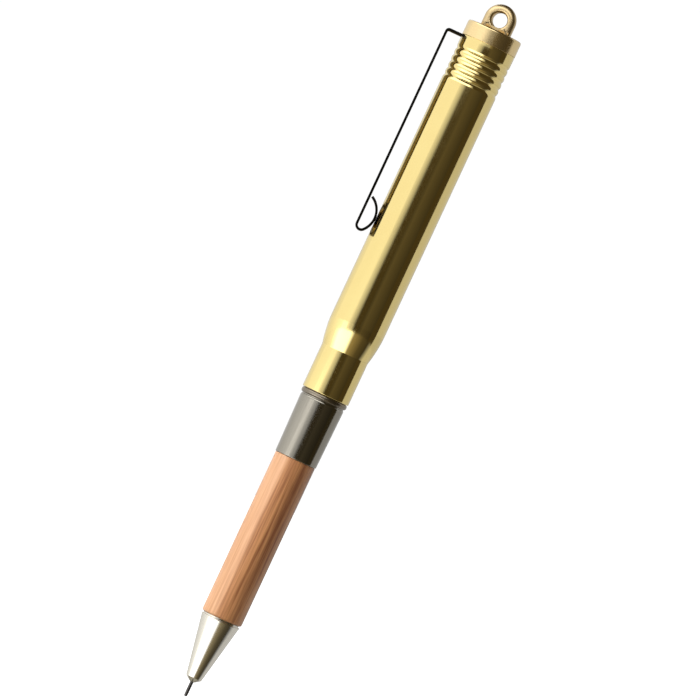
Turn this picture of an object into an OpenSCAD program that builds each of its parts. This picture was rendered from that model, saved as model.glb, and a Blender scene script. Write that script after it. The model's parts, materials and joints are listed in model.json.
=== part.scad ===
// Ballpoint pen with a brass barrel, a lanyard eye, a spring clip and a wood grip.
// Millimetres. Each piece is drawn upright on its axis, with the ball at height 0 and the clip
// towards +X. The pen is then turned half round, so that the clip is towards -X, and hung with the
// centre of its lanyard eye at the origin.

/* [Barrel] */
// Outside diameter of the barrel's body
barrel_d = 10.7; // [10.2:0.1:12]
// Length of the barrel from its mouth to the joint under the cap
barrel_len = 71.3; // [66:0.1:80]
// Wall of the barrel's body
barrel_wall = 0.6; // [0.5:0.05:0.75]
// Wall of the barrel's narrow neck
neck_wall = 0.42; // [0.35:0.01:0.5]
// Length of the narrow neck behind the mouth
neck_len = 8.6; // [7:0.1:12]
// Length of the rounded shoulder between neck and body
shoulder_len = 5.8; // [3:0.1:7]
// Number of rolled ridges below the cap
ridge_count = 4; // [2:1:6]
// Spacing of the ridges along the barrel
ridge_pitch = 1.33; // [1.1:0.01:1.6]
// Radius of each ridge's rounded crest
ridge_round = 1.1; // [0.9:0.05:1.6]
// Length of the plain band between the ridges and the cap
band_len = 2.65; // [2:0.05:4]

/* [Cap and eye] */
// Height of the cap above the joint
cap_h = 3; // [2.5:0.1:5]
// Rounding of the cap's top edge
cap_round = 0.35; // [0.2:0.05:0.6]
// Length of the spigot that holds the cap in the barrel
spigot_len = 7; // [5:0.1:9]
// Outside diameter of the lanyard eye
eye_d = 6.1; // [5:0.1:7]
// Diameter of the hole in the eye
eye_hole_d = 2.9; // [2.6:0.1:3.6]
// Thickness of the eye from face to face
eye_thick = 2.1; // [1.6:0.1:3]
// Height of the hole's centre above the cap
eye_lift = 2.15; // [2.1:0.05:3]
// Turn of the eye's face towards the clip
eye_turn = 12; // [0:1:45]

/* [Clip] */
// Thickness of the clip's spring strip
clip_thick = 0.46; // [0.38:0.02:0.6]
// Width of the clip's spring strip
clip_width = 4; // [3:0.1:5]
// Distance from the pen's axis to the middle of the clip's straight leg
clip_reach = 8.2; // [7.7:0.05:9]
// Length from the clip's stub to where its loop meets the barrel
clip_len = 37.5; // [25:0.1:45]
// Radius of the loop that meets the barrel
loop_round = 3.95; // [3.4:0.05:4.4]
// Radius of the turn between the leg and the loop
turn_round = 0.9; // [0.6:0.05:1.1]
// Radius of the bend at the clip's top
top_round = 0.5; // [0.4:0.05:1]
// Gap between the loop's free end and the leg
end_gap = 0.2; // [0.15:0.05:1]

/* [Ferrule] */
// Length of the ferrule's skirt in front of the bead
skirt_len = 11.8; // [9:0.1:16]
// Diameter of the skirt where it meets the wood
skirt_front_d = 8.2; // [8.1:0.02:8.4]
// Diameter of the skirt beside the bead
skirt_rear_d = 8.64; // [8.4:0.02:8.8]
// Length of the groove and bead at the barrel's mouth
bead_len = 1.25; // [0.8:0.05:1.6]
// Diameter of the bead
bead_d = 9.04; // [8.7:0.02:9.1]
// Diameter of the plug inside the barrel
plug_d = 8.32; // [8.2:0.02:8.4]
// Length of the plug behind the refill's rear end
stop_len = 7.5; // [5.5:0.1:9]
// Wall of the ferrule's plug
ferrule_wall = 0.46; // [0.4:0.02:0.55]

/* [Grip and nose] */
// Length of the wood in front of the ferrule
grip_len = 32.4; // [26:0.1:40]
// Diameter of the wood grip
grip_d = 7.94; // [7.7:0.02:8]
// Rounding of the wood's front edge
grip_round = 0.4; // [0.2:0.05:0.7]
// Length of the wood's tenon inside the ferrule
tenon_len = 6.5; // [4:0.1:8]
// Length of the nose cone
nose_len = 12.9; // [11:0.1:15]
// Diameter of the nose cone beside the wood
nose_base_d = 7.56; // [7.2:0.02:7.8]
// Diameter of the nose cone where its blunt tip begins
nose_tip_d = 3.06; // [2.4:0.02:3.3]
// Length of the nose cone's blunt tip
tip_len = 0.75; // [0.5:0.05:1]
// Length of the screw thread that holds the nose cone
thread_len = 5.5; // [4:0.1:7]
// Diameter of the screw thread
thread_d = 4.4; // [4.2:0.05:4.8]

/* [Refill] */
// Length of the whole refill from ball to rear end
refill_len = 67; // [66:0.1:68]
// Diameter of the refill's tube
refill_d = 2.35; // [2.2:0.01:2.4]
// Wall of the refill's tube
refill_wall = 0.3; // [0.2:0.05:0.4]
// Length of the ink in the refill
ink_len = 38; // [20:1:48]
// Length of the point that stands out of the nose cone
point_out = 3; // [2.5:0.1:4.5]
// Length of the point inside the nose cone, up to the refill's tube
point_in = 7.7; // [6.5:0.1:8.5]
// Diameter of the point's thin end
needle_d = 0.66; // [0.66:0.01:0.8]
// Diameter of the writing ball
ball_d = 0.5; // [0.48:0.01:0.52]

/* [Hidden] */
$fn = 96;

brass = [0.83, 0.67, 0.31];
black = [0.05, 0.05, 0.05];
gunmetal = [0.48, 0.46, 0.42];
wood = [0.80, 0.55, 0.36];
nickel = [0.80, 0.79, 0.75];
steel = [0.62, 0.62, 0.62];
blue_black = [0.05, 0.06, 0.12];

// Clearance of a sliding or screwed fit, and of a fixed fit, on the radius
slide_fit = 0.04;
fixed_fit = 0.02;
// Gap left where two faces meet end to end, and where the clip's strip is parted
face_gap = 0.05;
flex_gap = 0.1;
// Small bevel that breaks a sharp edge
bevel = 0.06;

// Heights of the joints between the pieces, from the ball
nose_z = point_out;
grip_z = nose_z + nose_len;
skirt_z = grip_z + grip_len;
bead_z = skirt_z + skirt_len;
mouth_z = bead_z + bead_len;
plug_z = refill_len + stop_len;
joint_z = mouth_z + barrel_len;
cap_z = joint_z + cap_h;
eye_z = cap_z + eye_lift;

// Radii and heights of the barrel
ridge_step = 0.04;
barrel_r = barrel_d / 2;
bore_r = barrel_r - barrel_wall;
plug_r = plug_d / 2;
mouth_r = plug_r + slide_fit;
neck_r = mouth_r + neck_wall;
neck_z = mouth_z + neck_len;
body_z = neck_z + shoulder_len;
band_z = joint_z - band_len;
ridge_z = band_z - ridge_count * ridge_pitch;
ridge_r = barrel_r - ridge_step;
ridge_half = asin(ridge_pitch / 2 / ridge_round);
groove_r = ridge_r - ridge_round * (1 - cos(ridge_half));

// Shoulder of the barrel, a round that leaves the body smoothly and ends at the neck
shoulder_drop = barrel_r - neck_r;
shoulder_r = (pow(shoulder_len, 2) + pow(shoulder_drop, 2)) / 2 / shoulder_drop;
shoulder_turn = asin(shoulder_len / shoulder_r);

// Strip of the clip, with the depth of its cover, its side clearance and the depth of the cap's waist
cover = 0.08;
slot_gap = 0.05;
waist = 1.6;
half_thick = clip_thick / 2;
stub_z = joint_z - half_thick - cover;
seat_z = stub_z - half_thick - face_gap;
seat_r = bore_r - waist;
corner_x = clip_reach - top_round;
bend_z = stub_z - top_round;
loop_x = barrel_r + face_gap + half_thick + loop_round;
loop_z = stub_z - clip_len;
turn_x = clip_reach - turn_round;
turn_drop = sqrt(pow(loop_round - turn_round, 2) - pow(loop_x - turn_x, 2));
turn_z = loop_z - turn_drop;
turn_angle = atan2(turn_drop, loop_x - turn_x);
// Angle that the loop runs past the barrel, up to the gap before the leg
loop_rise = acos((loop_x - clip_reach + half_thick + end_gap) / (loop_round - half_thick));

// Bores and inner heights of the writing unit
bush_wall = 0.55;
run_out = 1;
liner_r = 1.8;
refill_gap = 0.15;
needle_gap = 0.08;
tube_r = plug_r - ferrule_wall;
bush_r = thread_d / 2 + bush_wall;
bush_z = grip_z + thread_len + run_out;
tenon_z = skirt_z + tenon_len;
sleeve_r = refill_d / 2 + refill_gap;

// Refill: the needle's rear taper sits in the nose cone, and its shank is pressed into the tube
taper_len = 2;
collar_z = nose_z + point_in;
taper_z = collar_z - 0.7 * taper_len;
ink_z = collar_z + taper_len;
refill_r = refill_d / 2;
ink_r = refill_r - refill_wall - fixed_fit;
needle_r = needle_d / 2;
ball_r = ball_d / 2;

function arc(centre, r, from, to, steps = 6) = [for (i = [0:steps])
    centre + r * [cos(from + (to - from) * i / steps), sin(from + (to - from) * i / steps)]];

module hang() {
    translate([0, 0, -eye_z]) rotate([0, 0, 180]) children();
}

module turned(outline) {
    rotate_extrude() polygon(outline);
}

module tube(r, bore, from, to) {
    turned([[bore, from], [r, from], [r, to], [bore, to]]);
}

// A flat strip bent in the upright plane. It runs straight from a point to its first bend, and each bend
// has its centre, its radius at the middle of the strip, and its angles from +X towards +Z.
module strip(from, bends) {
    steps = 10;
    path = concat(
        [[from, [cos(bends[0][2]), sin(bends[0][2])]]],
        [for (i = [0:len(bends) - 1]) for (k = [i == 0 ? 0 : 1:steps])
            let (angle = bends[i][2] + (bends[i][3] - bends[i][2]) * k / steps)
            let (away = [cos(angle), sin(angle)]) [bends[i][0] + bends[i][1] * away, away]]);
    rotate([90, 0, 0]) linear_extrude(height = clip_width, center = true) polygon(concat(
        [for (p = path) p[0] + half_thick * p[1]],
        [for (i = [len(path) - 1:-1:0]) path[i][0] - half_thick * path[i][1]]));
}

module barrel() {
    edge = 2 * bevel;
    inner_shift = 0.4;
    band_rise = 0.3;
    shoulder_arc = acos(1 - (barrel_r - groove_r) / ridge_round);
    color(brass) hang() difference() {
        turned(concat(
            [[mouth_r + edge, mouth_z], [neck_r - edge, mouth_z], [neck_r, mouth_z + edge]],
            arc([barrel_r - shoulder_r, body_z], shoulder_r, -shoulder_turn, 0),
            arc([barrel_r - ridge_round, ridge_z - ridge_round * sin(shoulder_arc)],
                ridge_round, 0, shoulder_arc),
            [for (i = [0:ridge_count - 1]) each arc(
                [ridge_r - ridge_round, ridge_z + (i + 0.5) * ridge_pitch],
                ridge_round, -ridge_half, ridge_half)],
            [[ridge_r - fixed_fit, band_z + band_rise], [ridge_r, band_z + 1.5 * band_rise],
                [ridge_r, joint_z - bevel], [ridge_r - bevel, joint_z], [bore_r, joint_z],
                [bore_r, body_z + inner_shift], [mouth_r, neck_z + inner_shift], [mouth_r, mouth_z + edge]]));
        translate([seat_r, -clip_width / 2 - slot_gap, seat_z])
            cube([barrel_r, clip_width + 2 * slot_gap, cap_h]);
    }
}

module eye_cap() {
    cap_r = barrel_r - fixed_fit / 2;
    cap_foot = joint_z + fixed_fit;
    spigot_r = bore_r - fixed_fit;
    spigot_z = joint_z - spigot_len;
    lead_in = 0.5;
    half = eye_thick / 2;
    edge = 0.5;
    rim = eye_d / 2 - edge;
    // How far the eye's stem reaches above the hole's centre and into the cap
    stem_top = 0.1;
    stem_root = 0.25;
    hole_r = eye_hole_d / 2;
    mouth = 0.3;
    beyond = 1;
    color(brass) hang() union() {
        turned(concat(
            [[0, spigot_z], [spigot_r - lead_in, spigot_z], [spigot_r, spigot_z + lead_in],
                [spigot_r, seat_z], [seat_r, seat_z], [seat_r, cap_foot], [cap_r - bevel, cap_foot],
                [cap_r, cap_foot + bevel]],
            arc([cap_r - cap_round, cap_z - cap_round], cap_round, 0, 90),
            [[0, cap_z]]));
        translate([0, 0, eye_z]) rotate([0, 0, -eye_turn]) rotate([90, 0, 0]) difference() {
            union() {
                turned(concat(
                    [[0, -half]],
                    arc([rim, edge - half], edge, -90, 0),
                    arc([rim, half - edge], edge, 0, 90),
                    [[0, half]]));
                translate([0, stem_top, 0]) rotate([90, 0, 0])
                    linear_extrude(height = stem_top + eye_lift + stem_root) polygon(concat(
                        arc([rim, edge - half], edge, -90, 0),
                        arc([rim, half - edge], edge, 0, 90),
                        arc([-rim, half - edge], edge, 90, 180),
                        arc([-rim, edge - half], edge, 180, 270)));
            }
            turned([[0, -half - beyond], [hole_r + mouth + beyond, -half - beyond], [hole_r + mouth, -half],
                [hole_r, mouth - half], [hole_r, half - mouth], [hole_r + mouth, half],
                [hole_r + mouth + beyond, half + beyond], [0, half + beyond]]);
        }
    }
}

module clip_ring() {
    ring_half = half_thick - fixed_fit;
    color(black) hang() union() {
        tube(bore_r - face_gap, seat_r + face_gap, stub_z - ring_half, stub_z + ring_half);
        strip([(seat_r + bore_r) / 2, stub_z], [[[corner_x, bend_z], top_round, 90, 0]]);
    }
}

module clip_arm() {
    color(black) hang() strip([clip_reach, bend_z - flex_gap],
        [[[turn_x, turn_z], turn_round, 360, 180 + turn_angle],
            [[loop_x, loop_z], loop_round, 180 + turn_angle, 180 - loop_rise]]);
}

module ferrule() {
    front_r = skirt_front_d / 2;
    rear_r = skirt_rear_d / 2;
    rear_round = 0.4;
    groove_len = 0.2;
    bead_h = bead_len - groove_len - face_gap;
    bead_mid = mouth_z - face_gap - bead_h / 2;
    bead_round = bead_d / 2 - plug_r;
    bead_span = 75;
    lead_in = 0.4;
    color(gunmetal) hang() turned(concat(
        [[tube_r, skirt_z], [front_r - 2 * bevel, skirt_z], [front_r - bevel / 2, skirt_z + bevel],
            [front_r, skirt_z + 3 * bevel]],
        arc([rear_r - rear_round, bead_z - rear_round], rear_round, 0, 80),
        [[plug_r - fixed_fit, bead_z], [plug_r - fixed_fit, bead_mid - bead_h / 2]],
        [for (a = [-bead_span:bead_span / 3:bead_span])
            [plug_r + bead_round * cos(a), bead_mid + bead_h / 2 * sin(a) / sin(bead_span)]],
        [[plug_r, mouth_z - face_gap], [plug_r, plug_z - lead_in], [plug_r - lead_in / 2, plug_z],
            [tube_r, plug_z]]));
}

module end_plug() {
    cup_len = 4;
    dome = 0.4;
    stop_z = refill_len + face_gap;
    plug_rim = plug_z + dome / 2;
    color(brass) hang() turned([[sleeve_r, stop_z - cup_len], [tube_r - fixed_fit, stop_z - cup_len],
        [tube_r - fixed_fit, plug_rim], [tube_r - dome, plug_rim + dome], [0, plug_rim + 1.5 * dome],
        [0, stop_z], [sleeve_r, stop_z]]);
}

module wood_grip() {
    r = grip_d / 2;
    color(wood) hang() turned(concat(
        [[bush_r + fixed_fit, grip_z]],
        arc([r - grip_round, grip_z + grip_round], grip_round, -90, 0),
        [[r, skirt_z - face_gap], [tube_r - fixed_fit, skirt_z - face_gap], [tube_r - fixed_fit, tenon_z],
            [liner_r + fixed_fit, tenon_z], [liner_r + fixed_fit, bush_z], [bush_r + fixed_fit, bush_z]]));
}

module liner_tube() {
    color(brass) hang() tube(liner_r, sleeve_r, bush_z + fixed_fit, tenon_z);
}

module front_bush() {
    recess = 0.3;
    color(brass) hang() tube(bush_r, thread_d / 2 + slide_fit, grip_z + recess, bush_z - face_gap);
}

module nose_cone() {
    tip_r = nose_tip_d / 2;
    tip_z = nose_z + tip_len;
    base_r = nose_base_d / 2;
    hole_r = needle_r + needle_gap;
    bore = refill_r + slide_fit;
    land = 0.1;
    rim_len = 0.2;
    // Depth and length of the relief beside the wood
    relief = 0.25;
    relief_len = 0.3;
    foot_z = grip_z - face_gap;
    relief_z = foot_z - relief_len;
    rim_z = relief_z - rim_len;
    color(nickel) hang() turned([[hole_r, nose_z], [hole_r + land, nose_z], [tip_r - bevel, tip_z - bevel],
        [tip_r + bevel / 2, tip_z + 2 * bevel], [base_r - bevel, rim_z - 3 * bevel], [base_r, rim_z],
        [base_r, relief_z - bevel], [base_r - bevel, relief_z], [base_r - relief, relief_z],
        [base_r - relief, foot_z], [thread_d / 2, foot_z], [thread_d / 2, grip_z + thread_len],
        [bore, grip_z + thread_len], [bore, taper_z], [hole_r, taper_z - taper_len]]);
}

module refill_tube() {
    color(steel) hang() tube(refill_r, refill_r - refill_wall, collar_z, refill_len);
}

module refill_point() {
    // The rim is closed in over the ball's widest part, with a hair of clearance, and a fine duct feeds it
    lip_z = 0.56 * ball_r;
    rim = 0.02;
    bevel_z = 2 * ball_d;
    ball_gap = 0.015;
    duct_r = 0.1;
    color(steel) hang() difference() {
        turned([[0, lip_z], [needle_r - rim, lip_z], [needle_r, bevel_z],
            [needle_r, taper_z - taper_len + face_gap], [refill_r, taper_z + face_gap], [refill_r, collar_z],
            [ink_r, collar_z], [ink_r, ink_z], [0, ink_z]]);
        translate([0, 0, ball_r]) sphere(r = ball_r + ball_gap);
        translate([0, 0, ball_r]) cylinder(r = duct_r, h = ink_z);
    }
}

module point_ball() {
    color(steel) hang() translate([0, 0, ball_r]) sphere(r = ball_r);
}

module ink() {
    color(blue_black) hang() translate([0, 0, ink_z]) cylinder(r = ink_r, h = ink_len);
}

barrel();
eye_cap();
clip_ring();
clip_arm();
ferrule();
end_plug();
wood_grip();
liner_tube();
front_bush();
nose_cone();
refill_tube();
refill_point();
point_ball();
ink();
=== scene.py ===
# %% [markdown]
# A slim ballpoint pen hangs from its lanyard eye: brass barrel, spring clip, dark ferrule, wood grip and
# nickel nose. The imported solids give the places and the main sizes, and the finer sizes are named here, in
# millimetres. This lesson remakes each visible piece with finer edges, and then gives it its finish.

# %% Load the frame
import json
import math
import bmesh
import bpy
from mathutils import Matrix, Vector


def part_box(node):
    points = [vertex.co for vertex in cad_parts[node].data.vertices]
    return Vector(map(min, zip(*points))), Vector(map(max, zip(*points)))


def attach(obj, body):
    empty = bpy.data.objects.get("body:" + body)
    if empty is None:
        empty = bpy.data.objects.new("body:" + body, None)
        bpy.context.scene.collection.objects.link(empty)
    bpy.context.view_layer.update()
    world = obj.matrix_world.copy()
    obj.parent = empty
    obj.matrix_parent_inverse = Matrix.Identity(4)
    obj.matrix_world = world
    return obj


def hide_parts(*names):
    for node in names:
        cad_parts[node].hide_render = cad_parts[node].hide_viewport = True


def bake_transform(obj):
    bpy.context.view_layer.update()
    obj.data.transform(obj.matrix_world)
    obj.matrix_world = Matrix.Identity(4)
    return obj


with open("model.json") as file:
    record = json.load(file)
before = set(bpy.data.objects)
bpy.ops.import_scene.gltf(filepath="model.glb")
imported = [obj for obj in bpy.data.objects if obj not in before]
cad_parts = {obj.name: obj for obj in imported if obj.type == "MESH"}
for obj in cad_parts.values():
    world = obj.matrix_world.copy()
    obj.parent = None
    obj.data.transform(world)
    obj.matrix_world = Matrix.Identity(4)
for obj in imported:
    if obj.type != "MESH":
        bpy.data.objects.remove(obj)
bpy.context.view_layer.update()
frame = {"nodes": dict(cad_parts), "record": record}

# %% [markdown]
# All the round pieces share one axis. It is easiest to draw them in millimetres with the ball at height 0
# and the clip towards +X, and to hang the finished mesh in the frame with one matrix. The heights and radii
# of the solids are read back in the same way, so that the pieces meet where the solids meet.

# %% Heights and radii from the frame
MM = 0.001
ball_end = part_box("point_ball")[0].z
hang = Matrix.Translation((0, 0, ball_end)) @ Matrix.Rotation(math.pi, 4, "Z") @ Matrix.Scale(MM, 4)


def span(node):
    """Lowest height, highest height and outside radius of a solid, in millimetres."""
    low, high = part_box(node)
    return (low.z - ball_end) / MM, (high.z - ball_end) / MM, (high.y - low.y) / 2 / MM


mouth_z, joint_z, barrel_r = span("barrel")
spigot_z, top_z, cap_r = span("eye_cap")
skirt_z, plug_z, bead_r = span("ferrule")
nose_z, thread_z, nose_r = span("nose_cone")
grip_z, tenon_z, grip_r = span("wood_grip")
print(f"barrel {mouth_z:.2f} to {joint_z:.2f}, radius {barrel_r:.2f}; top {top_z:.2f}")

# %% [markdown]
# Most of the pen is made on a lathe, and Spin is Blender's lathe. A half outline is drawn as a wire of a few
# points, each corner that is soft on the real piece is rounded by a vertex bevel, and the wire is spun round
# the axis. A Weighted Normal modifier keeps long faces straight in the light beside their small roundings.

# %% A lathe for outlines
ROUND_STEPS = 160
BEVEL_STEPS = 8
SHARP = math.radians(35)
# Points closer than this become one.
MERGE = 0.0005


def rounded(shape, geom, size, affect, steps=BEVEL_STEPS):
    """Round the corners (VERTICES) or edges (EDGES) of a shape, with size the length that is cut off."""
    bmesh.ops.bevel(shape, geom=geom, offset=size, offset_type="OFFSET", affect=affect, segments=steps,
                    profile=0.5, material=-1, clamp_overlap=False)


def turned(outline, steps=ROUND_STEPS):
    """Spin an outline of (radius, height, corner) points, with corner the length cut for its rounding."""
    shape = bmesh.new()
    points = [shape.verts.new((radius, 0, height)) for radius, height, corner in outline]
    around = points if outline[0][0] == 0 else points + points[:1]
    for one, other in zip(around, around[1:]):
        shape.edges.new((one, other))
    for point, (radius, height, corner) in zip(points, outline):
        if corner:
            rounded(shape, [point], corner, "VERTICES")
    bmesh.ops.spin(shape, geom=shape.verts[:] + shape.edges[:], cent=(0, 0, 0), axis=(0, 0, 1),
                   angle=2 * math.pi, steps=steps, use_merge=True)
    bmesh.ops.remove_doubles(shape, verts=shape.verts, dist=MERGE)
    bmesh.ops.recalc_face_normals(shape, faces=shape.faces)
    return shape


def as_mesh(shape, name):
    """Turn a shape into mesh data and let the shape go."""
    mesh = bpy.data.meshes.new(name)
    shape.to_mesh(mesh)
    shape.free()
    return mesh


def placed(name, data):
    """A new object in the scene."""
    thing = bpy.data.objects.new(name, data)
    bpy.context.scene.collection.objects.link(thing)
    return thing


def finished(name, shape):
    """Hang a shape in the frame as an object, smooth except at its sharp edges."""
    for edge in shape.edges:
        edge.smooth = edge.calc_face_angle(0) < SHARP
    for face in shape.faces:
        face.smooth = True
    shape.transform(hang)
    piece = placed(name, as_mesh(shape, name))
    shading = piece.modifiers.new("even_shading", "WEIGHTED_NORMAL")
    shading.keep_sharp = True
    print(name, len(piece.data.polygons), "faces")
    return piece


# %% [markdown]
# The barrel is a drawn brass tube. Its mouth is swaged down to a narrow neck over a rounded shoulder, and
# four round ridges are rolled in below the cap. In the outline each ridge is a single peak, and a large bevel
# rounds it into the next valley, as the roller does. The shoulder is one corner too, with a very large bevel
# that stops just short of the neck's own.

# %% Barrel outline
# End faces that meet are drawn this far apart.
FACE_GAP = 0.05
mouth_r = 4.2
neck_r = 4.62
neck_len = 8.6
neck_cut = 0.1
shoulder_len = 5.8
wall = 0.6
bore_lift = 0.4
neck_z = mouth_z + neck_len
body_z = neck_z + shoulder_len
bore_r = barrel_r - wall
shoulder_drop = barrel_r - neck_r
shoulder_turn = 2 * math.atan(shoulder_drop / (body_z - neck_z))
shoulder_z = neck_z + shoulder_drop / math.tan(shoulder_turn)
shoulder_cut = body_z - shoulder_z - 1.2 * neck_cut
band_len = 2.65
ridge_count = 4
ridge_pitch = 1.33
ridge_sink = 0.04
ridge_depth = 0.224
ridge_slope = math.radians(37.2)
ridge_share = 0.98
slope_below = 0.31
slope_above = 0.34
band_z = joint_z - band_len
ridge_z = band_z - ridge_count * ridge_pitch
ridge_r = barrel_r - ridge_sink
valley_r = ridge_r - ridge_depth
peak_r = valley_r + ridge_pitch / 2 * math.tan(ridge_slope)
ridge_cut = ridge_share * ridge_pitch / 2 / math.cos(ridge_slope)
strip_thick = 0.46
strip_top = span("clip_ring")[1]
slot_z = strip_top - strip_thick - FACE_GAP
barrel_outline = [(mouth_r, mouth_z, 0.12), (neck_r, mouth_z, 0.14), (neck_r, neck_z, neck_cut),
                  (barrel_r, shoulder_z, shoulder_cut), (barrel_r, ridge_z - slope_below, 0.4),
                  (valley_r, ridge_z, 0.04)]
for ridge in range(ridge_count):
    foot = ridge_z + ridge * ridge_pitch
    barrel_outline += [(peak_r, foot + ridge_pitch / 2, ridge_cut), (valley_r, foot + ridge_pitch, 0)]
barrel_outline += [(ridge_r, band_z + slope_above, 0.3), (ridge_r, slot_z, 0), (ridge_r, joint_z, 0.06),
                   (bore_r, joint_z, 0), (bore_r, slot_z, 0), (bore_r, body_z + bore_lift, 0),
                   (mouth_r, neck_z + bore_lift, 0)]
barrel = turned(barrel_outline)
print("barrel outline", len(barrel_outline), "points, bore radius", round(bore_r, 2))

# %% [markdown]
# The clip enters through a slot in the barrel's rim. The lathe's own grid is fine enough to cut it: the faces
# of the rim within the slot are deleted, a bridge closes its floor, and two fills close its ends.

# %% Slot in the barrel's rim
# Lengths that differ by less than this count as equal.
SAME = 0.001
strip_low, strip_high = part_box("clip_arm")
strip_width = (strip_high.y - strip_low.y) / MM
grid_step = 2 * math.pi / ROUND_STEPS
slot_half = math.ceil(math.asin((strip_width / 2 + FACE_GAP) / ridge_r) / grid_step) * grid_step
slot_faces = []
for face in barrel.faces:
    middle = face.calc_center_median()
    if middle.z > slot_z and abs(math.atan2(middle.y, middle.x)) < slot_half:
        slot_faces.append(face)
bmesh.ops.delete(barrel, geom=slot_faces, context="FACES")
open_edges = [e for e in barrel.edges if e.is_boundary]
floor_edges = [e for e in open_edges if all(abs(v.co.z - slot_z) < SAME for v in e.verts)]
bmesh.ops.bridge_loops(barrel, edges=floor_edges)
bmesh.ops.holes_fill(barrel, edges=[e for e in barrel.edges if e.is_boundary], sides=0)
bmesh.ops.recalc_face_normals(barrel, faces=barrel.faces)
print("slot", len(slot_faces), "faces cut, open edges left", sum(e.is_boundary for e in barrel.edges))
barrel_tube = finished("barrel_tube", barrel)
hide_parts("barrel")
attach(barrel_tube, "barrel")

# %% [markdown]
# The cap is turned from solid brass, with a spigot that is pressed into the barrel and a waist that holds the
# clip's ring. Its eye starts as two circles. The lower half of the outer one is pulled out to straight sides,
# a bridge fills the ring between them, and an extrusion gives it its thickness.

# %% Cap and lanyard eye
# Pieces that are pressed or glued together are drawn this far apart.
FIT = 0.02
cap_len = 3
waist_depth = 1.6
eye_thick = 2.1
eye_sink = 0.25
eye_steps = 96
spigot_r = bore_r - FIT
waist_r = bore_r - waist_depth
cap_foot = joint_z + FIT
cap_z = joint_z + cap_len
eye_mount = next(m for m in frame["record"]["mounts"] if m["name"] == "lanyard_eye")
hole_r = eye_mount["dims"]["r_mm"]
eye_z = (eye_mount["pos_m"][2] - ball_end) / MM
eye_r = top_z - eye_z
eye_root = eye_z - cap_z + eye_sink
cap = turned([(0, spigot_z, 0), (spigot_r, spigot_z, 0.5), (spigot_r, slot_z, 0), (waist_r, slot_z, 0),
              (waist_r, cap_foot, 0), (cap_r, cap_foot, 0.06), (cap_r, cap_z, 0.38), (0, cap_z, 0)])
eye = bmesh.new()
outer_circle = bmesh.ops.create_circle(eye, segments=eye_steps, radius=eye_r)["verts"]
for point in outer_circle:
    if point.co.y < 0:
        point.co *= min(eye_r / max(abs(point.co.x), SAME), eye_root / abs(point.co.y))
bmesh.ops.create_circle(eye, segments=eye_steps, radius=hole_r)
bmesh.ops.bridge_loops(eye, edges=eye.edges[:])
grown = bmesh.ops.extrude_face_region(eye, geom=eye.faces[:])["geom"]
lifted = [g for g in grown if isinstance(g, bmesh.types.BMVert)]
bmesh.ops.translate(eye, vec=(0, 0, eye_thick), verts=lifted)
bmesh.ops.translate(eye, vec=(0, 0, -eye_thick / 2), verts=eye.verts)
bmesh.ops.recalc_face_normals(eye, faces=eye.faces)
print("eye radius", round(eye_r, 2), "hole radius", hole_r)

# %% [markdown]
# The edges of the hole get a small rounding and those of the outside a large one, as on a cast eye. Then the
# eye is stood up, turned to where its hole looks, and joined to the cap. Everything above the cap's top gets
# the second of the two finishes that the piece will wear.

# %% Round the eye and set it on the cap
# A face looks along an axis when that part of its normal is more than this.
MAINLY = 0.5
hole_round = 0.5
outer_round = 0.95
face_edges = [e for e in eye.edges if abs(e.verts[0].co.z - e.verts[1].co.z) < SAME
              and any(abs(f.normal.z) < MAINLY for f in e.link_faces)]
hole_edges = [e for e in face_edges if e.verts[0].co.xy.length < hole_r + SAME]
outer_edges = [e for e in face_edges if e not in hole_edges]
for edges, round_off in ((hole_edges, hole_round), (outer_edges, outer_round)):
    rounded(eye, [e for e in edges if e.is_valid], round_off, "EDGES")
eye_axis = Vector(eye_mount["axis"])
turn = Matrix.Rotation(math.atan2(-eye_axis.x, -eye_axis.y), 4, "Z")
eye.transform(Matrix.Translation((0, 0, eye_z)) @ turn.inverted() @ Matrix.Rotation(math.pi / 2, 4, "X"))


def join(shape, other, name):
    """Add one shape to another, so that they become one mesh."""
    carrier = as_mesh(other, name)
    shape.from_mesh(carrier)
    bpy.data.meshes.remove(carrier)


join(cap, eye, "eye_part")
for face in cap.faces:
    face.material_index = int(face.calc_center_median().z > cap_z)
eye_cap = finished("eye_cap_turned", cap)
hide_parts("eye_cap")
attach(eye_cap, "barrel")

# %% [markdown]
# The clip is one strip of spring steel, bent in one plane. Its section is a small rectangle with barely
# rounded edges, and it starts at the loop's free end. The loop touches the barrel, and a tighter turn leads
# from the loop into the leg, so the two arcs have to meet in one direction.

# %% Clip section at the loop's free end
clip_len = 37.5
top_round = 0.5
turn_round = 0.9
loop_round = 3.95
loop_gap = 0.01
end_gap = 0.2
edge_round = 0.012
edge_steps = 4
half_thick = strip_thick / 2
leg_x = -strip_low.x / MM - half_thick
stub_z = strip_top - half_thick
bend_z = stub_z - top_round
loop_x = barrel_r + loop_gap + half_thick + loop_round
loop_z = stub_z - clip_len
turn_x = leg_x - turn_round
turn_drop = math.sqrt((loop_round - turn_round) ** 2 - (loop_x - turn_x) ** 2)
turn_z = loop_z - turn_drop
turn_angle = math.atan2(turn_drop, loop_x - turn_x)
loop_rise = math.acos((loop_x - leg_x + half_thick + end_gap) / (loop_round - half_thick))
start_x = loop_x - loop_round
strip = bmesh.new()
corners = []
for across, along in ((-1, -1), (1, -1), (1, 1), (-1, 1)):
    spot = (start_x + across * half_thick, along * strip_width / 2, loop_z)
    corners.append(strip.verts.new(spot))
for one, other in zip(corners, corners[1:] + corners[:1]):
    strip.edges.new((one, other))
rounded(strip, corners, edge_round, "VERTICES", edge_steps)
bmesh.ops.rotate(strip, verts=strip.verts, cent=(loop_x, 0, loop_z),
                 matrix=Matrix.Rotation(loop_rise, 3, "Y"))
rim = strip.edges[:]
bmesh.ops.contextual_create(strip, geom=rim)
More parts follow.
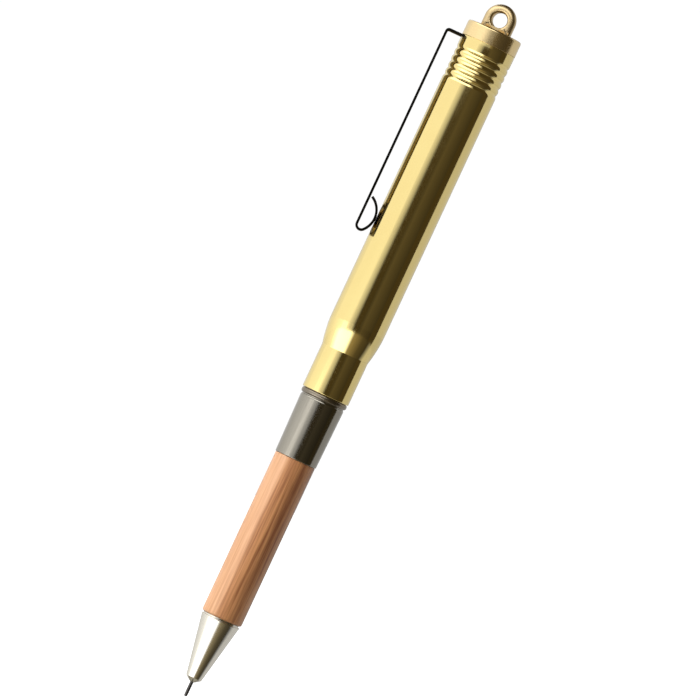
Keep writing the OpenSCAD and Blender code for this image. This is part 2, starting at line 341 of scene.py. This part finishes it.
print("leg at", round(leg_x, 2), "loop centre at", round(loop_x, 2), round(loop_z, 2))

# %% [markdown]
# The section's rim now travels along the strip: each bend is a short Spin about the bend's own centre, as a
# bending tool works, and each straight is an extrusion. The leg is made in several equal lengths. The strip
# ends in the cap's ring. Its narrow faces, cut from the sheet, get the second of the two finishes that the
# piece will wear.

# %% Bends and straights of the clip
loop_steps = 40
turn_steps = 20
leg_steps = 16
top_steps = 14


def bend(edges, x, z, angle, steps):
    """Carry the strip's rim round a bend and return its new rim."""
    ends = list(dict.fromkeys(v for e in edges for v in e.verts))
    made = bmesh.ops.spin(strip, geom=ends + edges, cent=(x, 0, z), axis=(0, 1, 0), angle=angle, steps=steps)
    return [g for g in made["geom_last"] if isinstance(g, bmesh.types.BMEdge)]


def run(edges, way):
    """Carry the strip's rim along a straight and return its new rim."""
    made = bmesh.ops.extrude_edge_only(strip, edges=edges)["geom"]
    bmesh.ops.translate(strip, vec=way, verts=[g for g in made if isinstance(g, bmesh.types.BMVert)])
    return [g for g in made if isinstance(g, bmesh.types.BMEdge) and all(v in made for v in g.verts)]


rim = bend(rim, loop_x, loop_z, -(loop_rise + turn_angle), loop_steps)
rim = bend(rim, turn_x, turn_z, -(math.pi - turn_angle), turn_steps)
for step in range(leg_steps):
    rim = run(rim, (0, 0, (bend_z - turn_z) / leg_steps))
rim = bend(rim, leg_x - top_round, bend_z, -math.pi / 2, top_steps)
rim = run(rim, ((waist_r + bore_r) / 2 - leg_x + top_round, 0, 0))
bmesh.ops.contextual_create(strip, geom=rim)
bmesh.ops.remove_doubles(strip, verts=strip.verts, dist=MERGE)
bmesh.ops.recalc_face_normals(strip, faces=strip.faces)
ring_low = stub_z - half_thick + FIT
ring_high = stub_z + half_thick - FIT
ring_in = waist_r + FACE_GAP
ring_out = bore_r - FACE_GAP
ring = turned([(ring_in, ring_low, 0), (ring_out, ring_low, 0), (ring_out, ring_high, 0),
               (ring_in, ring_high, 0)])
join(strip, ring, "ring_part")
strip.normal_update()
for face in strip.faces:
    face.material_index = int(abs(face.normal.y) > MAINLY)
print("cut edges of the strip", sum(face.material_index for face in strip.faces), "faces")
clip_strip = finished("clip_strip", strip)
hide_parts("clip_ring", "clip_arm")
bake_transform(clip_strip)

# %% [markdown]
# The ferrule is a dark plated tube that joins the wood to the barrel. Its skirt widens a little to the rear
# and ends in a soft edge, then come a narrow groove, a bead that meets the barrel's mouth, and the plug
# inside. The bead's faces get a finish of their own. The domed end plug closes the tube.

# %% Ferrule and end plug
tube_r = 3.7
plug_r = 4.16
groove_r = plug_r - 0.02
groove_len = 0.2
skirt_front_r = 4.1
skirt_rear_r = 4.32
bead_len = 1.25
bead_cut = 0.4
bead_z = mouth_z - bead_len
bead_foot = bead_z + groove_len
bead_top = mouth_z - FACE_GAP
# The bead's own faces lie between these two heights.
bead_low = bead_foot - 0.05
bead_high = bead_top + 0.01
ferrule = turned([
    (tube_r, skirt_z, 0), (skirt_front_r, skirt_z, 0.14), (skirt_rear_r, bead_z, 0.4),
    (groove_r, bead_z, 0.03), (groove_r, bead_foot, 0.03), (bead_r, bead_foot, bead_cut),
    (bead_r, bead_top, bead_cut), (plug_r, bead_top, 0.03), (plug_r, plug_z, 0.3), (tube_r, plug_z, 0)])
for face in ferrule.faces:
    face.material_index = int(bead_low < face.calc_center_median().z < bead_high)
ferrule_shell = finished("ferrule_shell", ferrule)
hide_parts("ferrule")
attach(ferrule_shell, "writing_unit")
stop_foot, stop_top, stop_r = span("end_plug")
refill_foot, refill_top, refill_r = span("refill_tube")
stop_play = 0.15
dome_len = 0.6
dome_inset = 0.4
dome_rise = 0.2
stop_bore = refill_r + stop_play
stop_floor = refill_top + FACE_GAP
stop_plug = finished("stop_plug", turned([
    (0, stop_floor, 0), (stop_bore, stop_floor, 0), (stop_bore, stop_foot, 0.1), (stop_r, stop_foot, 0.1),
    (stop_r, stop_top - dome_len, 0.15), (stop_r - dome_inset, stop_top - dome_rise, 0.2),
    (0, stop_top, 0)]))
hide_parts("end_plug")
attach(stop_plug, "writing_unit")

# %% [markdown]
# The grip is a pencil-thick round of pale reddish wood with a softened front edge. Its tenon is glued into
# the ferrule, and a stepped bore runs through it for the brass bush and liner. One outline makes all of that.

# %% Wood grip
bush_top, bush_r = span("front_bush")[1:]
liner_r = span("liner_tube")[2]
bush_bore = bush_r + FIT
liner_bore = liner_r + FIT
tenon_r = tube_r - FIT
wood_end = skirt_z - FACE_GAP
step_z = bush_top + FACE_GAP
wood_handle = finished("wood_handle", turned([
    (bush_bore, grip_z, 0.05), (grip_r, grip_z, 0.4), (grip_r, wood_end, 0.08), (tenon_r, wood_end, 0),
    (tenon_r, tenon_z, 0.1), (liner_bore, tenon_z, 0), (liner_bore, step_z, 0), (bush_bore, step_z, 0)]))
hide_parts("wood_grip")
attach(wood_handle, "writing_unit")

# %% [markdown]
# The nose cone screws into the grip. The cone itself is lathe work again, with a blunt tip and a shallow
# relief beside the wood. Its thread is a real helix: a small triangle is spun with a lift at every step,
# which is how Spin makes a screw, and it sits on the cone's stem.

# %% Nose cone and its thread
tip_r = 1.53
tip_len = 0.75
tip_face = 0.1
relief_len = 0.3
relief_r = nose_r - 0.25
rim_len = 0.2
rim_inset = 0.06
rim_slope = 0.18
stem_r = 1.95
needle_r = 0.33
needle_play = 0.08
refill_play = 0.04
seat_drop = 1.4
seat_len = 2
tip_z = nose_z + tip_len
foot_z = grip_z - FACE_GAP
relief_z = foot_z - relief_len
rim_z = relief_z - rim_len
needle_hole = needle_r + needle_play
nose_bore = refill_r + refill_play
seat_z = refill_foot - seat_drop
nose = turned([
    (needle_hole, nose_z, 0.03), (needle_hole + tip_face, nose_z, 0.04), (tip_r, tip_z, 0.16),
    (nose_r - rim_inset, rim_z - rim_slope, 0.1), (nose_r, rim_z, 0.05), (nose_r, relief_z, 0.06),
    (relief_r, relief_z, 0.03), (relief_r, foot_z, 0), (stem_r, foot_z, 0), (stem_r, thread_z, 0.2),
    (nose_bore, thread_z, 0), (nose_bore, seat_z, 0), (needle_hole, seat_z - seat_len, 0)])
thread_r = 2.2
thread_pitch = 0.75
thread_turns = 5.5
thread_steps = 264
thread_lift = 0.3
thread_half = 0.3
thread_root = stem_r - 0.02
thread_foot = foot_z + thread_lift
thread = bmesh.new()
points = [thread.verts.new((radius, 0, thread_foot + lift)) for radius, lift in
          ((thread_root, -thread_half), (thread_r, 0), (thread_root, thread_half))]
start = thread.faces.new(points)
bmesh.ops.spin(thread, geom=[start] + start.edges[:] + points, cent=(0, 0, 0), axis=(0, 0, 1),
               dvec=(0, 0, thread_pitch * thread_turns / thread_steps),
               angle=2 * math.pi * thread_turns, steps=thread_steps)
bmesh.ops.recalc_face_normals(thread, faces=thread.faces)
join(nose, thread, "thread_part")
nose_piece = finished("nose_turned", nose)
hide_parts("nose_cone")
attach(nose_piece, "nose_cone")

# %% [markdown]
# The refill is a drawn metal tube with a fine needle point. The needle's mouth is closed in over the ball,
# and its rear taper seats in the nose. Both get the small rolled edges that a plain tube lacks.

# %% Refill point and tube
THIN_STEPS = 64
lip_z, shank_top = span("refill_point")[:2]
ball_r = span("point_ball")[2]
ball_play = 0.015
lip_inset = 0.02
duct_r = 0.1
refill_wall = 0.3
refill_bore = refill_r - refill_wall
shank_r = refill_bore - FIT
socket_r = ball_r + ball_play
lip_r = math.sqrt(socket_r ** 2 - (ball_r - lip_z) ** 2)
taper_z = seat_z + FACE_GAP
point_piece = finished("point_turned", turned([
    (duct_r, 2 * ball_r, 0), (lip_r, lip_z, 0), (needle_r - lip_inset, lip_z, 0.02),
    (needle_r, 4 * ball_r, 0.2), (needle_r, taper_z - seat_len, 0.4), (refill_r, taper_z, 0.4),
    (refill_r, refill_foot, 0), (shank_r, refill_foot, 0), (shank_r, shank_top, 0.1),
    (duct_r, shank_top, 0)], THIN_STEPS))
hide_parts("refill_point")
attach(point_piece, "refill")
tube_piece = finished("refill_drawn", turned([
    (refill_bore, refill_foot, 0), (refill_r, refill_foot, 0.06), (refill_r, refill_top, 0.12),
    (refill_bore, refill_top, 0.08)], THIN_STEPS))
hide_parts("refill_tube")
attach(tube_piece, "refill")

# %% [markdown]
# A finish is a small tree of shader nodes. Colours are picked as sRGB hex values, as a paint program shows
# them, and Blender wants linear light, so one function converts them. One more adds a node, sets it and
# links it. Metal and wood both have a grain along the pen, which is noise that is drawn out along Z.

# %% Colour and node helpers


def light(hex_colour):
    """A hex colour such as F4DD89 as linear red, green, blue and alpha."""
    parts = [int(hex_colour[i:i + 2], 16) / 255 for i in (0, 2, 4)]
    return [p / 12.92 if p <= 0.04045 else ((p + 0.055) / 1.055) ** 2.4 for p in parts] + [1]


def add(tree, kind, inputs=None, **settings):
    """Add a node with its settings; each input is a value or the output socket that feeds it."""
    node = tree.nodes.new(kind)
    for key, value in settings.items():
        setattr(node, key, value)
    for key, value in (inputs or {}).items():
        if isinstance(value, bpy.types.NodeSocket):
            tree.links.new(value, node.inputs[key])
        else:
            node.inputs[key].default_value = value
    return node


def new_finish(name):
    """An empty material and its tree."""
    finish = bpy.data.materials.new(name)
    finish.use_nodes = True
    finish.node_tree.nodes.clear()
    return finish, finish.node_tree


def along_pen(tree, place, width, length, detail, roughness=0.5):
    """Noise that is drawn out along the pen, with features about as wide and as long as given."""
    drawn = add(tree, "ShaderNodeMapping", {"Vector": place, "Scale": (1 / width, 1 / width, 1 / length)})
    noise = add(tree, "ShaderNodeTexNoise", {"Vector": drawn.outputs[0], "Scale": 1.0, "Detail": detail,
                                             "Roughness": roughness})
    return noise.outputs["Fac"]


def wear(piece, *finishes):
    """Put finishes on a piece. Clearing resets the faces' numbers, so only old finishes are cleared."""
    if piece.data.materials:
        piece.data.materials.clear()
    for finish in finishes:
        piece.data.materials.append(finish)


# %% [markdown]
# Brass is the colour of the pen. The barrel is drawn and then polished, so the light runs along it in clear
# bands, with lengthwise streaks and faint handling marks that change its gloss. The turned cap is paler and
# softer, and the eye wears a darker, greyer and more matte copy of the cap's brass. The brass inside the pen
# wears the barrel's finish. Real polishing lines are too fine to show in the render, so the streaks are drawn
# as coarse as they need to show.

# %% Brass finishes
STREAK_WIDTH = 0.25 * MM
STREAK_LENGTH = 14 * MM
STREAK_DEPTH = 0.02 * MM
STREAK_RELIEF = 0.015
SMUDGE = 6 * MM


def brass_finish(name, colour, dull_colour, roughness, spread):
    """Brass whose bands of light are broken up a little by streaks and smudges."""
    finish, tree = new_finish(name)
    place = add(tree, "ShaderNodeTexCoord").outputs["Object"]
    streaks = along_pen(tree, place, STREAK_WIDTH, STREAK_LENGTH, 4.0, 0.6)
    smudges = add(tree, "ShaderNodeTexNoise", {"Vector": place, "Scale": 1 / SMUDGE, "Detail": 5.0,
                                               "Roughness": 0.65}).outputs["Fac"]
    tone = add(tree, "ShaderNodeMix", {"Factor": smudges, "A": light(colour), "B": light(dull_colour)},
               data_type="RGBA")
    both = add(tree, "ShaderNodeMath", {0: streaks, 1: smudges}, operation="MULTIPLY")
    gloss = add(tree, "ShaderNodeMapRange", {"Value": both.outputs[0], "From Min": 0.1, "From Max": 0.45,
                                             "To Min": roughness, "To Max": roughness + spread})
    bump = add(tree, "ShaderNodeBump", {"Height": streaks, "Strength": STREAK_RELIEF,
                                        "Distance": STREAK_DEPTH})
    shader = add(tree, "ShaderNodeBsdfPrincipled", {"Base Color": tone.outputs["Result"], "Metallic": 1.0,
                                                    "Roughness": gloss.outputs[0],
                                                    "Normal": bump.outputs[0]})
    add(tree, "ShaderNodeOutputMaterial", {"Surface": shader.outputs[0]})
    return finish


# Drawn brass: a warm mirror with clear bright and dark bands.
drawn_brass = brass_finish("drawn_polished_brass", "F6E19A", "EFD78F", 0.07, 0.06)
# Turned brass: paler, with its bands run together. Eye brass: darker, matte and greyer, with only a soft
# shade.
turned_brass = brass_finish("turned_satin_brass", "F6DDA6", "EFD39A", 0.22, 0.03)
dark_eye_brass = brass_finish("dark_matte_eye_brass", "D6BF92", "CBB386", 0.3, 0.05)
wear(barrel_tube, drawn_brass)
wear(eye_cap, turned_brass, dark_eye_brass)
for inner in (stop_plug, frame["nodes"]["liner_tube"], frame["nodes"]["front_bush"]):
    wear(inner, drawn_brass)
print("brass finishes", drawn_brass.name, turned_brass.name, dark_eye_brass.name)

# %% [markdown]
# The clip's strip is spring steel, black on its narrow cut faces and rubbed to dark steel on its wide ones.
# The ferrule is dark nickel plate, its bead is a burnished ring, the nose is bright nickel, and the needle
# and the tube are drawn steel. They differ in tone, gloss and grain, so one recipe with a few values serves
# them. The grain of real plate and steel is too fine to show, so it is drawn as coarse as it needs to show.

# %% Plated and plain metals
GRAIN_STRETCH = 40
GRAIN_DEPTH = 0.02 * MM


def metal_finish(name, colour, dull_colour, roughness, spread, grain, metallic=1.0, relief=0.05):
    """A drawn surface with a fine grain along the pen, which stretches and softens its highlights."""
    finish, tree = new_finish(name)
    place = add(tree, "ShaderNodeTexCoord").outputs["Object"]
    lines = along_pen(tree, place, grain, GRAIN_STRETCH * grain, 5.0, 0.65)
    tone = add(tree, "ShaderNodeMix", {"Factor": lines, "A": light(colour), "B": light(dull_colour)},
               data_type="RGBA")
    gloss = add(tree, "ShaderNodeMapRange", {"Value": lines, "From Min": 0.3, "From Max": 0.7,
                                             "To Min": roughness, "To Max": roughness + spread})
    bump = add(tree, "ShaderNodeBump", {"Height": lines, "Strength": relief, "Distance": GRAIN_DEPTH})
    shader = add(tree, "ShaderNodeBsdfPrincipled", {"Base Color": tone.outputs["Result"],
                                                    "Metallic": metallic, "Roughness": gloss.outputs[0],
                                                    "Normal": bump.outputs[0]})
    add(tree, "ShaderNodeOutputMaterial", {"Surface": shader.outputs[0]})
    return finish


# Dark plate: a grey mirror beside the warm brass. Burnished bead: a browner, softer ring between the two.
dark_plate = metal_finish("dark_nickel_plate", "A8A398", "938E82", 0.11, 0.06, 0.2 * MM, relief=0.04)
burnished = metal_finish("burnished_steel_bead", "978D7D", "7C7468", 0.22, 0.1, 0.2 * MM)
wear(ferrule_shell, dark_plate, burnished)
# Bright plate: the palest metal of the pen, so that the nose stands out from the wood.
wear(nose_piece, metal_finish("bright_nickel_plate", "E8E3D6", "DDD8CA", 0.14, 0.08, 0.15 * MM))
# Drawn steel: dark and soft, so that the needle reads as a thin dark line.
steel = metal_finish("dark_drawn_steel", "5C5A57", "484644", 0.25, 0.1, 0.1 * MM)
for piece in (point_piece, tube_piece, frame["nodes"]["point_ball"]):
    wear(piece, steel)
# Rubbed steel: a soft sheen on the wide faces. Black edge: the thin dark line that the front view shows.
rubbed = metal_finish("rubbed_spring_steel", "A8A190", "989181", 0.16, 0.06, 0.1 * MM, relief=0.01)
black_edge = metal_finish("blackened_steel_edge", "2C2A27", "22211F", 0.2, 0.08, 0.1 * MM)
wear(clip_strip, rubbed, black_edge)
# Ink is no metal and only borrows the recipe: near black, with a wet gloss.
wear(frame["nodes"]["ink"], metal_finish("wet_ink", "0D1020", "080A14", 0.1, 0.05, 0.5 * MM, metallic=0.0))
print("metal finishes", dark_plate.name, burnished.name, steel.name, rubbed.name, black_edge.name)

# %% [markdown]
# The grip is a cedar-like wood: orange-brown heartwood, fibres that run along it, soft growth bands, and a
# thin satin clear coat that gives it a broad, quiet sheen. A paler strip runs along the side that faces the
# lamp: it is partly paler sapwood and partly a painted sheen. All of them are noise or a ramp on the piece's
# own coordinates, stretched along the stem, so that they run out at its ends as in a real pencil. Single
# fibres are too fine to show, so they are drawn as coarse as bundles.

# %% Wood finish
FIBRE_WIDTH = 0.34 * MM
FIBRE_LENGTH = 11 * MM
FIBRE_DEPTH = 0.05 * MM
FIBRE_SHARE = 0.55
BAND_WIDTH = 0.8 * MM
BAND_LENGTH = 30 * MM
SHEEN_AND_SAPWOOD_EDGE = -1.35 * MM
SHEEN_AND_SAPWOOD_BLUR = 0.35 * MM
wood, tree = new_finish("coated_cedar")
place = add(tree, "ShaderNodeTexCoord").outputs["Object"]
fibres = along_pen(tree, place, FIBRE_WIDTH, FIBRE_LENGTH, 4.0, 0.6)
bands = along_pen(tree, place, BAND_WIDTH, BAND_LENGTH, 2.0)
grain = add(tree, "ShaderNodeMix", {"Factor": FIBRE_SHARE, "A": bands, "B": fibres})
woods = []
# Heartwood, then the paler strip, which is sapwood and a painted sheen at once: each runs from a dark tone to
# a pale one between two values of the grain.
for stops in (((0.37, "90552D"), (0.62, "D0925B")), ((0.34, "BC8455"), (0.64, "E0AD83"))):
    ramp = add(tree, "ShaderNodeValToRGB", {"Fac": grain.outputs[0]})
    for number, (position, colour) in enumerate(stops):
        ramp.color_ramp.elements[number].position = position
        ramp.color_ramp.elements[number].color = light(colour)
    woods.append(ramp.outputs[0])
parts = add(tree, "ShaderNodeSeparateXYZ", {0: place})
# The paler strip lies on the -X side, towards the lamp. There it is a painted sheen as well as paler sapwood.
wander = add(tree, "ShaderNodeMath", {0: bands, 1: SHEEN_AND_SAPWOOD_BLUR, 2: parts.outputs["X"]},
             operation="MULTIPLY_ADD")
side = add(tree, "ShaderNodeMapRange", {"Value": wander.outputs[0],
                                        "From Min": SHEEN_AND_SAPWOOD_EDGE - SHEEN_AND_SAPWOOD_BLUR,
                                        "From Max": SHEEN_AND_SAPWOOD_EDGE + 2 * SHEEN_AND_SAPWOOD_BLUR,
                                        "To Min": 1.0, "To Max": 0.0}, interpolation_type="SMOOTHSTEP")
tone = add(tree, "ShaderNodeMix", {"Factor": side.outputs[0], "A": woods[0], "B": woods[1]},
           data_type="RGBA")
bump = add(tree, "ShaderNodeBump", {"Height": fibres, "Strength": 0.12, "Distance": FIBRE_DEPTH})
shader = add(tree, "ShaderNodeBsdfPrincipled", {"Base Color": tone.outputs["Result"], "Roughness": 0.5,
                                                "IOR": 1.5, "Coat Weight": 0.5, "Coat Roughness": 0.3,
                                                "Normal": bump.outputs[0]})
add(tree, "ShaderNodeOutputMaterial", {"Surface": shader.outputs[0]})
wear(wood_handle, wood)
print("wood finish", wood.name, len(tree.nodes), "nodes")

# %% [markdown]
# The camera looks at the pen from the front, where the clip is on the left, and it is rolled so that the pen
# leans to the right. A long lens from more than a metre away keeps the pen's sides parallel and its rings
# flat.

# %% Camera
LEAN = math.radians(25)
DISTANCE = 1.2
WIDTH_SEEN = 0.1294
SENSOR = 36
AIM_ASIDE = 0.57 * MM
AIM_HEIGHT = 70.9 * MM
lens = bpy.data.cameras.new("camera")
lens.sensor_width = SENSOR
lens.lens = SENSOR * DISTANCE / WIDTH_SEEN
camera = placed("camera", lens)
right = Vector((math.cos(LEAN), 0, math.sin(LEAN)))
up = Vector((-math.sin(LEAN), 0, math.cos(LEAN)))
back = Vector((0, -1, 0))
stand = Vector((AIM_ASIDE, -DISTANCE, ball_end + AIM_HEIGHT))
camera.matrix_world = Matrix.Translation(stand) @ Matrix((right, up, back)).transposed().to_4x4()
bpy.context.scene.camera = camera
print("camera at", [round(c, 4) for c in stand])

# %% [markdown]
# Polished metal shows its surroundings, so the light is made of large curved panels that stand round the pen
# in five tiers. Upright metal mirrors the skirt tier along the ferrule and the middle one along the barrel,
# and faces that lean down or up see the low, crown and high tiers. The dim panels are warm, as the shadows on
# brass are. Each panel's brightness runs from one end to the other. The camera doesn't see them.

# %% Light panels
PANEL_RADIUS = 1.2
PANEL_STEPS = 24
WHITE = (1, 1, 1, 1)
EMBER = (1, 0.82, 0.48, 1)
# A tier has a lowest and a highest height in metres, and its panels. Each panel has its two end angles in
# degrees from the camera, right positive, its strengths at those ends, and its tint.
TIERS = {
    "low": (-1.2, -0.25, [
        (-170, -130, 0.7, 0.87, WHITE), (-130, -86, 0.87, 1.2, WHITE), (-86, -64, 1.2, 2.4, WHITE),
        (-64, -10, 2.6, 2.2, WHITE), (-10, 2, 1.9, 0.45, WHITE), (2, 16, 0.36, 0.27, EMBER),
        (16, 42, 0.26, 0.11, EMBER), (42, 74, 0.1, 0.05, EMBER), (74, 94, 0.06, 0.55, WHITE),
        (94, 168, 0.62, 0.62, WHITE)]),
    "skirt": (-0.25, -0.084, [
        (-170, -119, 0.8, 1.0, WHITE), (-119, -63, 1.0, 1.4, WHITE), (-63, -41, 1.75, 1.7, WHITE),
        (-41, -30, 1.3, 0.8, WHITE), (-30, -17, 0.8, 0.55, WHITE), (-17, -9, 0.4, 0.06, WHITE),
        (9, 23, 0.05, 0.1, EMBER), (23, 66, 0.09, 0.04, EMBER), (92, 168, 0.55, 0.55, WHITE)]),
    "middle": (-0.084, 0.06, [
        (-170, -112, 0.75, 1.0, WHITE), (-112, -37, 1.1, 1.1, WHITE), (-37, -18, 0.95, 0.42, WHITE),
        (-18, -11, 0.36, 0.06, WHITE), (9, 23, 0.06, 0.11, EMBER), (23, 66, 0.1, 0.05, EMBER),
        (92, 168, 0.6, 0.6, WHITE)]),
    "crown": (0.06, 0.3, [
        (-170, -112, 0.75, 1.0, WHITE), (-112, -30, 1.1, 1.1, WHITE), (-30, -10, 1.0, 0.6, WHITE),
        (-10, 8, 0.46, 0.38, WHITE), (8, 22, 0.3, 0.09, EMBER), (22, 66, 0.09, 0.05, EMBER),
        (92, 168, 0.6, 0.6, WHITE)]),
    "high": (0.3, 1.3, [
        (-170, -95, 0.8, 1.1, WHITE), (-95, 0, 2.2, 2.2, WHITE), (0, 16, 1.3, 0.12, WHITE),
        (92, 168, 0.6, 0.6, WHITE)]),
}


def panel(name, low, high, start, end, first, last, tint):
    """A curved wall of light between two angles in radians, with its strengths at both ends."""
    wall = bmesh.new()
    feet = [wall.verts.new((0, -PANEL_RADIUS, height)) for height in (low, high)]
    edge = wall.edges.new(feet)
    bmesh.ops.rotate(wall, verts=feet, cent=(0, 0, 0), matrix=Matrix.Rotation(start, 3, "Z"))
    bmesh.ops.spin(wall, geom=feet + [edge], cent=(0, 0, 0), axis=(0, 0, 1), angle=end - start,
                   steps=PANEL_STEPS)
    glow, tree = new_finish(name)
    place = add(tree, "ShaderNodeTexCoord").outputs["Object"]
    parts = add(tree, "ShaderNodeSeparateXYZ", {0: place})
    ahead = add(tree, "ShaderNodeMath", {0: parts.outputs["Y"], 1: -1.0}, operation="MULTIPLY")
    angle = add(tree, "ShaderNodeMath", {0: parts.outputs["X"], 1: ahead.outputs[0]}, operation="ARCTAN2")
    strength = add(tree, "ShaderNodeMapRange", {"Value": angle.outputs[0], "From Min": start, "From Max": end,
                                                "To Min": first, "To Max": last})
    lamp = add(tree, "ShaderNodeEmission", {"Color": tint, "Strength": strength.outputs[0]})
    add(tree, "ShaderNodeOutputMaterial", {"Surface": lamp.outputs[0]})
    thing = placed(name, as_mesh(wall, name))
    wear(thing, glow)
    thing.visible_camera = False


for tier, (low, high, walls) in TIERS.items():
    for number, (start, end, first, last, tint) in enumerate(walls):
        panel(f"{tier}_panel_{number}", low, high, math.radians(start), math.radians(end), first, last, tint)
print("panels", sum(len(walls) for low, high, walls in TIERS.values()))

# %% [markdown]
# Wood is lit by what falls on it and not by what it mirrors, so a soft lamp at the front left shapes its
# round. The floor is plain white to the camera and sends pale light up to the wood. It lies far enough below
# the ball to leave room for the writing unit when it is pulled out. Metal mirrors neither of them.

# %% Lamp and floor
LAMP_SIZE = 0.25
LAMP_POWER = 4.5
LAMP_SIDE = math.radians(-62)
LAMP_RISE = 0.15
LAMP_DISTANCE = 0.9
LAMP_AIM = 30 * MM
FLOOR_RADIUS = 3
FLOOR_DROP = 40 * MM
FLOOR_STEPS = 96
lamp_data = bpy.data.lights.new("wood_lamp", "AREA")
lamp_data.shape = "DISK"
lamp_data.size = LAMP_SIZE
lamp_data.energy = LAMP_POWER
lamp_object = placed("wood_lamp", lamp_data)
lamp_way = Vector((math.sin(LAMP_SIDE), -math.cos(LAMP_SIDE), LAMP_RISE)).normalized()
lamp_stand = Vector((0, 0, ball_end + LAMP_AIM)) + LAMP_DISTANCE * lamp_way
lamp_turn = lamp_way.to_track_quat("Z", "Y").to_matrix().to_4x4()
lamp_object.matrix_world = Matrix.Translation(lamp_stand) @ lamp_turn
lamp_object.visible_glossy = False
floor_shape = bmesh.new()
bmesh.ops.create_circle(floor_shape, cap_ends=True, segments=FLOOR_STEPS, radius=FLOOR_RADIUS)
bmesh.ops.translate(floor_shape, vec=(0, 0, ball_end - FLOOR_DROP), verts=floor_shape.verts)
paper, tree = new_finish("white_paper")
path = add(tree, "ShaderNodeLightPath")
lamp = add(tree, "ShaderNodeEmission", {"Strength": path.outputs["Is Camera Ray"]})
matte = add(tree, "ShaderNodeBsdfDiffuse", {"Color": light("D8D8D8")})
both = add(tree, "ShaderNodeAddShader", {0: lamp.outputs[0], 1: matte.outputs[0]})
add(tree, "ShaderNodeOutputMaterial", {"Surface": both.outputs[0]})
floor = placed("floor", as_mesh(floor_shape, "floor"))
wear(floor, paper)
floor.visible_glossy = False
print("lamp at", [round(c, 3) for c in lamp_stand], "floor at", round(ball_end - FLOOR_DROP, 4))

# %% [markdown]
# The sky is plain white to the camera, and a grey haze lights the matte pieces. Metal sees a warm dusk in its
# place, which gives it its dark bands, and steeply below it a pale ground, which lights the lips and edges
# that look down.

# %% Sky
DUSK = (0.06, 0.045, 0.019, 1)
GROUND = (0.4, 0.38, 0.32, 1)
HAZE = (0.22, 0.22, 0.22, 1)
GROUND_STARTS = -0.7
GROUND_FULL = -0.82
SKY_STRENGTH = 1.02
sky = bpy.data.worlds.new("sky")
sky.use_nodes = True
sky.node_tree.nodes.clear()
tree = sky.node_tree
path = add(tree, "ShaderNodeLightPath")
way = add(tree, "ShaderNodeSeparateXYZ", {0: add(tree, "ShaderNodeTexCoord").outputs["Generated"]})
steep = add(tree, "ShaderNodeMapRange", {"Value": way.outputs["Z"], "From Min": GROUND_STARTS,
                                         "From Max": GROUND_FULL})
below = add(tree, "ShaderNodeMix", {"Factor": steep.outputs[0], "A": DUSK, "B": GROUND}, data_type="RGBA")
dusk = add(tree, "ShaderNodeBackground", {"Color": below.outputs["Result"], "Strength": 1.0})
haze = add(tree, "ShaderNodeBackground", {"Color": HAZE, "Strength": 1.0})
white = add(tree, "ShaderNodeBackground", {"Color": WHITE, "Strength": SKY_STRENGTH})
unlit = add(tree, "ShaderNodeMixShader", {0: path.outputs["Is Glossy Ray"], 1: haze.outputs[0],
                                          2: dusk.outputs[0]})
seen = add(tree, "ShaderNodeMixShader", {0: path.outputs["Is Camera Ray"], 1: unlit.outputs[0],
                                         2: white.outputs[0]})
add(tree, "ShaderNodeOutputWorld", {"Surface": seen.outputs[0]})
bpy.context.scene.world = sky
bpy.context.scene.view_settings.view_transform = "Standard"
print("sky", len(tree.nodes), "nodes")
